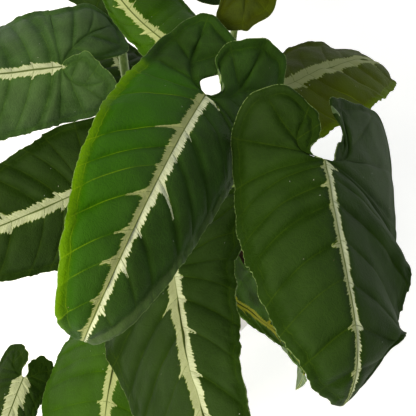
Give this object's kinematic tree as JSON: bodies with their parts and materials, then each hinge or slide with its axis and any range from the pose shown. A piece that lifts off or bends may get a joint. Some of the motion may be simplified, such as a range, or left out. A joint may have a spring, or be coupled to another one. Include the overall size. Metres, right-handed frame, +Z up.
{
  "type": "arrowhead plant",
  "caption": "Potted arrowhead plant with long-stalked arrowhead leaves that carry a silver band along the midrib.",
  "frame": {"origin": "centre of the pot's underside, on the surface the pot stands on", "axes": "+Z up, -Y towards the side that the large front leaf faces"},
  "size_m": [0.2396, 0.3882, 0.2653],
  "materials": {
    "leaf_dark": "velvety dark green leaf with a silver-green band along the midrib",
    "leaf_bright": "satin bright green young leaf with a pale midrib band",
    "soil": "crumbly dark potting soil",
    "pot": "matte off-white moulded plastic"
  },
  "bodies": {
    "root": {"leaf_front": "leaf_dark", "leaf_right": "leaf_dark", "leaf_low_front": "leaf_dark", "leaf_upper_left": "leaf_dark", "leaf_lower_left": "leaf_dark", "leaf_young_bright": "leaf_bright", "leaf_back_right": "leaf_dark", "leaf_top": "leaf_dark", "leaf_bottom_bright": "leaf_bright", "leaf_young_narrow": "leaf_bright", "leaf_corner": "leaf_dark", "leaf_under_left": "leaf_dark", "leaf_back_left": "leaf_dark", "leaf_back": "leaf_dark", "leaf_far_right": "leaf_dark", "leaf_under_right": "leaf_dark", "soil": "soil", "pot": "pot"}
  },
  "joints": []
}
